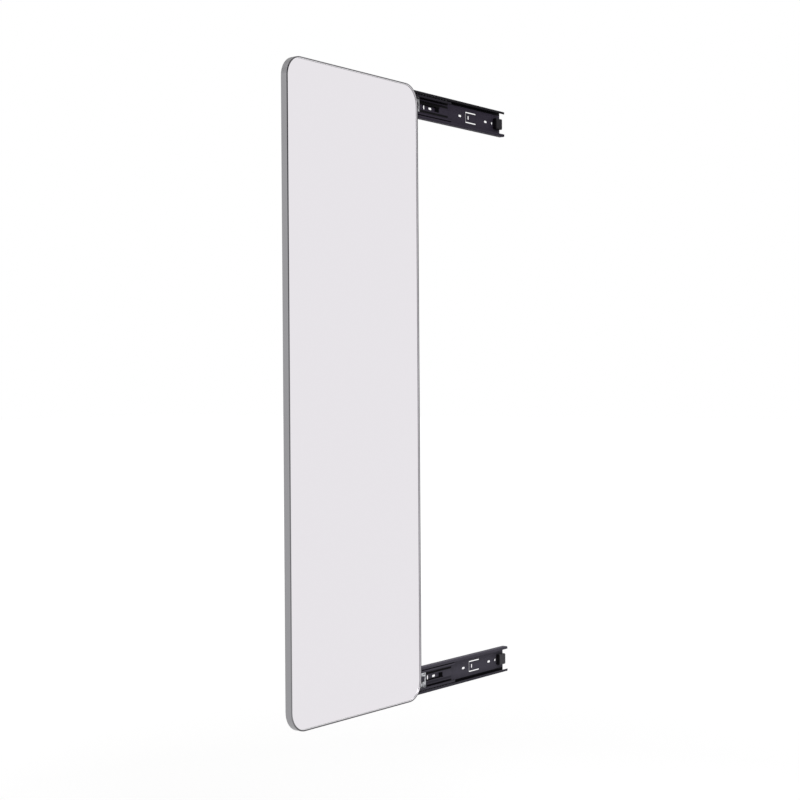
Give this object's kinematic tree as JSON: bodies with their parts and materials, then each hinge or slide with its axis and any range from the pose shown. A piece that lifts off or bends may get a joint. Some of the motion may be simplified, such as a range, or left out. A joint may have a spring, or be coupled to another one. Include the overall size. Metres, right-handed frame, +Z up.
{
  "type": "pull out closet mirror",
  "caption": "Full-length framed mirror that slides out of a closet on telescopic ball-bearing rails screwed to the side wall.",
  "frame": {"origin": "centre of the four round wall screw holes, on the face that lies against the closet's side wall", "axes": "+Z up, +Y into the side wall, -X the way the mirror is pulled out, the mirror looks along -Y"},
  "size_m": [0.656, 0.0258, 1.1],
  "materials": {
    "satin_aluminium": "satin anodised",
    "mirror_glass": "silvered float glass",
    "black_steel": "black electro-coated steel, satin",
    "zinc_steel": "bright zinc plated steel",
    "ball_steel": "polished steel balls, lightly greased",
    "black_plastic": "moulded black plastic",
    "seal_rubber": "black rubber strip",
    "foam_tape": "white double-sided foam tape",
    "hardboard": "brown hardboard"
  },
  "bodies": {
    "wall_rails": {"outer_rail_upper": "black_steel", "outer_rail_lower": "black_steel", "rear_bumper_upper": "black_plastic", "rear_bumper_lower": "black_plastic"},
    "mirror_panel": {"mirror_frame": "satin_aluminium", "glazing_seal": "seal_rubber", "mirror_glass": "mirror_glass", "foam_tapes": "foam_tape", "backing_board": "hardboard", "retaining_splines": "seal_rubber", "plate_screws": "zinc_steel", "inner_rail_upper": "black_steel", "inner_rail_lower": "black_steel", "rail_screws_upper": "zinc_steel", "rail_screws_lower": "zinc_steel", "lever_pivot_upper": "zinc_steel", "lever_pivot_lower": "zinc_steel", "mounting_plate_upper": "zinc_steel", "mounting_plate_lower": "zinc_steel"},
    "upper_middle_rail": {"middle_rail_upper": "black_steel", "detent_block_upper": "black_plastic"},
    "upper_outer_cage": {"outer_ball_cage_upper": "zinc_steel", "outer_balls_upper": "ball_steel"},
    "upper_inner_cage": {"inner_ball_cage_upper": "zinc_steel", "inner_balls_upper": "ball_steel"},
    "upper_release_lever": {"release_lever_upper": "black_plastic"},
    "lower_middle_rail": {"middle_rail_lower": "black_steel", "detent_block_lower": "black_plastic"},
    "lower_outer_cage": {"outer_ball_cage_lower": "zinc_steel", "outer_balls_lower": "ball_steel"},
    "lower_inner_cage": {"inner_ball_cage_lower": "zinc_steel", "inner_balls_lower": "ball_steel"},
    "lower_release_lever": {"release_lever_lower": "black_plastic"}
  },
  "joints": [
    {"name": "mirror_pull", "type": "slide", "parent": "wall_rails", "child": "mirror_panel", "axis": [-1, 0, 0], "range_m": [-0.31, 0]},
    {"name": "upper_middle_slide", "type": "slide", "parent": "wall_rails", "child": "upper_middle_rail", "axis": [-1, 0, 0], "range_m": [-0.155, 0]},
    {"name": "upper_outer_cage_roll", "type": "slide", "parent": "wall_rails", "child": "upper_outer_cage", "axis": [-1, 0, 0], "range_m": [-0.0775, 0]},
    {"name": "upper_inner_cage_roll", "type": "slide", "parent": "wall_rails", "child": "upper_inner_cage", "axis": [-1, 0, 0], "range_m": [-0.2325, 0]},
    {"name": "upper_release", "type": "hinge", "parent": "mirror_panel", "child": "upper_release_lever", "pos_m": [-0.349, -0.0103, 0.5215], "axis": [0, 1, 0], "range_deg": [0, 6], "stiffness_Nm_per_rad": 0.05},
    {"name": "lower_middle_slide", "type": "slide", "parent": "wall_rails", "child": "lower_middle_rail", "axis": [-1, 0, 0], "range_m": [-0.155, 0]},
    {"name": "lower_outer_cage_roll", "type": "slide", "parent": "wall_rails", "child": "lower_outer_cage", "axis": [-1, 0, 0], "range_m": [-0.0775, 0]},
    {"name": "lower_inner_cage_roll", "type": "slide", "parent": "wall_rails", "child": "lower_inner_cage", "axis": [-1, 0, 0], "range_m": [-0.2325, 0]},
    {"name": "lower_release", "type": "hinge", "parent": "mirror_panel", "child": "lower_release_lever", "pos_m": [-0.349, -0.0103, -0.5215], "axis": [0, -1, 0], "range_deg": [0, 6], "stiffness_Nm_per_rad": 0.05}
  ],
  "couplings": [
    {"joint": "upper_middle_slide", "follows": "mirror_pull", "ratio": 0.5},
    {"joint": "upper_outer_cage_roll", "follows": "mirror_pull", "ratio": 0.25},
    {"joint": "upper_inner_cage_roll", "follows": "mirror_pull", "ratio": 0.75},
    {"joint": "lower_middle_slide", "follows": "mirror_pull", "ratio": 0.5},
    {"joint": "lower_outer_cage_roll", "follows": "mirror_pull", "ratio": 0.25},
    {"joint": "lower_inner_cage_roll", "follows": "mirror_pull", "ratio": 0.75}
  ]
}
